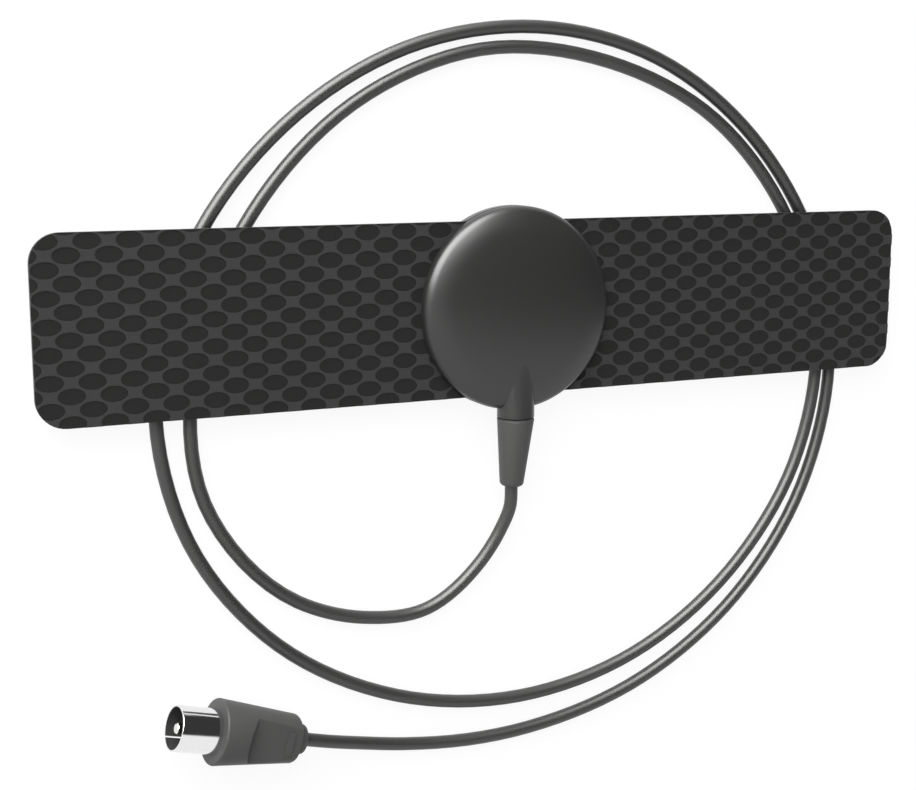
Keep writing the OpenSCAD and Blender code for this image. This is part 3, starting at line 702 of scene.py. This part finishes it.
def shadeShellInside(piece, material):
    # the faces towards the pin get a second material: a dark matte plastic in place of the metal, as painted
    # shade inside the shell's mouth
    piece.data.materials.append(material)
    toAxis = plugPlace().inverted()
    limit = (shell["radius"] - shell["wall"] + shell["shadeMargin"]) * mm
    for face in piece.data.polygons:
        x, y, z = toAxis @ face.center
        face.material_index = int(math.hypot(x, y) < limit)


plugPlastic = mouldedPlastic("plugPlastic", shade(0.09, 0.012), 0.52, 0.25, 1500, 0.25)
shellMetal = drawnMetal("shellMetal", (0.82, 0.82, 0.83), 0.12)
plugCover = dress(makePlugCover(), plugPlastic, "plug_plastic", "plug_cover")
plugShell = dress(makePlugShell(), shellMetal, "shell_metal", "plug_shell")
# the shell's inner faces are painted dark as shade, although the real shell is metal there too
shadeShellInside(plugShell, mouldedPlastic("shellInside", shade(0.05, 0.0), 0.6, 0.1, 1500, 0.2))
plugPin = dress(makePlugPin(), drawnMetal("pinMetal", (0.8, 0.78, 0.74), 0.15), "pin_metal", "plug_pin")
print("plug made")


screws = {"head": 1.9, "headHeight": 1.2, "headZ": 0.4, "chamfer": 0.2, "shank": 0.95, "top": 7.2,
          "point": 0.5, "pitch": 0.8, "thread": 0.2, "firstTurn": 0.3, "recess": 1.1, "arm": 0.25,
          "depth": 0.5, "turn": 0.6}


def makeScrews():
    headZ, head, shank, chamfer = screws["headZ"], screws["head"], screws["shank"], screws["chamfer"]
    top, pitch = screws["top"], screws["pitch"]
    neck, groove = headZ + screws["headHeight"], shank - screws["thread"]
    outline = [(0, headZ), (head - chamfer, headZ), (head, headZ + chamfer), (head, neck), (shank, neck)]
    for k in range(int((top - screws["point"] - neck) / pitch)):
        z = neck + screws["firstTurn"] + k * pitch
        outline += [(groove, z), (shank, z + pitch / 2), (groove, z + pitch * 3 / 4)]
    sample = makePiece("screwPattern", turned(outline + [(0, top)], 40))
    recess, arm = screws["recess"], screws["arm"]
    combine(sample, [("DIFFERENCE", block((-a, -b, -past), (a, b, headZ + screws["depth"])))
                     for a, b in ((recess, arm), (arm, recess))])
    spots = bmesh.new()
    for x, y in screwPlaces():
        spots.verts.new((x * mm, y * mm, 0))
    points = bpy.data.meshes.new("housingScrews")
    spots.to_mesh(points)
    spots.free()
    metal = drawnMetal("screwMetal", (0.5, 0.5, 0.51), 0.32, (400, 400, 60))
    piece = makePiece("housingScrews", points)
    inputs = {"Turn": screws["turn"], "Metal": metal}
    graph, source, given = growTree("screwAtEachPoint", inputs)
    one = graph.add("GeometryNodeObjectInfo", {}, {"Object": sample}, "Geometry")
    spin = graph.add("ShaderNodeCombineXYZ", {}, {"Z": graph.add("GeometryNodeInputIndex") * given["Turn"]})
    cloud = graph.add("GeometryNodeMeshToPoints", {}, {0: source})
    placed = graph.add("GeometryNodeInstanceOnPoints", {}, {
        "Points": cloud, "Instance": one, "Rotation": spin})
    real = graph.add("GeometryNodeRealizeInstances", {}, {0: placed})
    dressed = graph.add("GeometryNodeSetMaterial", {}, {"Geometry": real, "Material": given["Metal"]})
    runTree(piece, graph, dressed, inputs)
    bpy.data.objects.remove(sample)
    return piece


housingScrews = makeScrews()
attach(housingScrews, "root")
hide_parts("screw_upper_left", "screw_upper_right", "screw_lower_left", "screw_lower_right")
print("screws set")


def boardFinish():
    finish = Finish("boardGlassFibre", Specular_IOR_Level=0.5)
    weave = finish.graph.add("ShaderNodeTexVoronoi", {}, {"Vector": finish.spot, "Scale": 2200.0})
    green = finish.graph.mix(weave, (0.02, 0.16, 0.06, 1), (0.03, 0.22, 0.09, 1))
    finish.feed(Base_Color=green, Roughness=weave * 0.2 + 0.3)
    return finish.material


def braidFinish():
    finish = Finish("braidWire", Metallic=1.0)
    wave = finish.graph.add("ShaderNodeTexWave", {"bands_direction": "DIAGONAL"},
                            {"Vector": finish.spot, "Scale": 900.0, "Distortion": 0.5})
    finish.feed(Base_Color=finish.graph.mix(wave, (0.35, 0.34, 0.32, 1), (0.75, 0.73, 0.69, 1)),
                Roughness=wave * 0.2 + 0.3, Normal=finish.graph.bump(wave, 0.6, 0.1))
    return finish.material


carried = {
    "rear_skin": mouldedPlastic("rearSkinPlastic", shade(0.03, 0.0), 0.5, 0.4, 2200, 0.35),
    "left_radiator": drawnMetal("foil", (0.75, 0.75, 0.74), 0.3, (40, 400, 40)),
    "circuit_board": boardFinish(),
    "transformer_core": mouldedPlastic("ferrite", shade(0.05, -0.02), 0.75, 0.3, 2500, 0.5),
    "left_winding": drawnMetal("copperWire", (0.75, 0.33, 0.14), 0.28, (500, 60, 500)),
    "left_rivet": drawnMetal("rivetMetal", (0.8, 0.74, 0.6), 0.3),
    "input_capacitor": mouldedPlastic("capacitorCeramic", (0.45, 0.3, 0.16, 1), 0.5, 0.4, 3000, 0.3),
    "bleed_resistor": mouldedPlastic("resistorCeramic", shade(0.03, -0.05), 0.45, 0.4, 3000, 0.3),
    "braid_clamp": drawnMetal("clampMetal", (0.7, 0.69, 0.66), 0.28, (400, 80, 400)),
    "cable_stub": cableFinish(),
    "cable_braid": braidFinish(),
    "cable_insulation": mouldedPlastic("cableInsulation", (0.85, 0.85, 0.82, 1), 0.4, 0.5, 3000, 0.2, 0.03),
    "plug_insulator": mouldedPlastic("insulatorPlastic", shade(0.02, 0.0), 0.6, 0.3, 2500, 0.3),
}
sameAs = {"right_radiator": "left_radiator", "right_winding": "left_winding", "cable_wire": "left_winding",
          "right_rivet": "left_rivet", "output_capacitor": "input_capacitor"}
for node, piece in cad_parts.items():
    finish = carried.get(sameAs.get(node, node))
    if finish:
        piece.data.materials.clear()
        piece.data.materials.append(finish)
print("CAD pieces dressed")


table = {"half": 3000, "thickness": 20, "grey": 0.9, "roughness": 0.9, "glow": 1.06, "glowShare": 0.86}
studio = {"fill": 0.35, "slant": 0.3, "straight": 0.3, "dimFrom": -0.22, "dimTo": -0.06, "dim": 0.04}
# the window's soft edges in degrees: two bearings at each side, and two heights
key = {"strength": 13.0, "first": (78, 94), "last": (167, 151), "top": (64, 48), "depth": 2.5}
softbox = {"place": Vector((-0.36, 0.515, 0.41)), "target": Vector((0, 0, 0)), "size": 0.7, "power": 6.5}


def seenRays(path):
    return path.also("Is Camera Ray") + path.also("Is Glossy Ray") + path.also("Is Transmission Ray")


def makeFloor():
    half, grey = table["half"], table["grey"]
    floor = makePiece("floor", block((-half, -half, -table["thickness"]), (half, half, 0)))
    finish = Finish("paleTable", Base_Color=(grey, grey, grey, 1), Roughness=table["roughness"],
                    Specular_IOR_Level=0.0)
    graph = finish.graph
    share = seenRays(graph.add("ShaderNodeLightPath")) * table["glowShare"]
    glow = graph.add("ShaderNodeEmission", {}, {"Color": (1, 1, 1, 1), "Strength": table["glow"]})
    lit = Signal(graph, finish.shader.outputs[0])
    mixed = graph.add("ShaderNodeMixShader", {}, {0: share, 1: lit, 2: glow})
    graph.feed(finish.material.node_tree.nodes["Material Output"].inputs["Surface"], mixed)
    floor.data.materials.append(finish.material)


def makeWorld():
    world = bpy.data.worlds.new("studio")
    scene.world = world
    world.use_nodes = True
    graph = Graph(world.node_tree)
    path = graph.add("ShaderNodeLightPath")
    glossy = path.also("Is Glossy Ray")
    x = graph.split(graph.add("ShaderNodeTexCoord", output="Generated"))
    y, z = x.also("Y"), x.also("Z")
    # the far half of the room is dim, and bright metal shows it as a dark band
    left = x.maths("MINIMUM", x, studio["straight"])
    far = graph.ramp(y + left * studio["slant"], studio["dimFrom"], studio["dimTo"], 1.0 - studio["dim"])
    seen = seenRays(path) * (1 - far * glossy)
    # smooth plastic shows a broad window low in the far left of the room, which the camera sees
    # only by one reflection
    first, last = ([math.radians(angle) for angle in key[side]] for side in ("first", "last"))
    top = [math.sin(math.radians(angle)) for angle in key["top"]]
    bearing = x.maths("ARCTAN2", y, x)
    window = glossy * (path.also("Ray Depth") < key["depth"]) * key["strength"]
    for value, ends in ((bearing, first), (bearing, last), (z, top)):
        window = window * graph.ramp(value, *ends)
    fill = (1 - path.also("Is Camera Ray")) * (1 - glossy) * studio["fill"]
    background = world.node_tree.nodes["Background"]
    background.inputs["Color"].default_value = (1, 1, 1, 1)
    graph.feed(background.inputs["Strength"], seen + fill + window)


def makeSoftbox():
    light = bpy.data.lights.new("keySoftbox", "AREA")
    light.shape, light.energy = "RECTANGLE", softbox["power"]
    light.size, light.size_y = softbox["size"], softbox["size"]
    lamp = bpy.data.objects.new("keySoftbox", light)
    lamp.visible_glossy = False
    scene.collection.objects.link(lamp)
    turn = (softbox["target"] - softbox["place"]).to_track_quat("-Z", "Y").to_matrix().to_4x4()
    lamp.matrix_world = Matrix.Translation(softbox["place"]) @ turn


makeFloor()
makeWorld()
makeSoftbox()
print("studio lit")
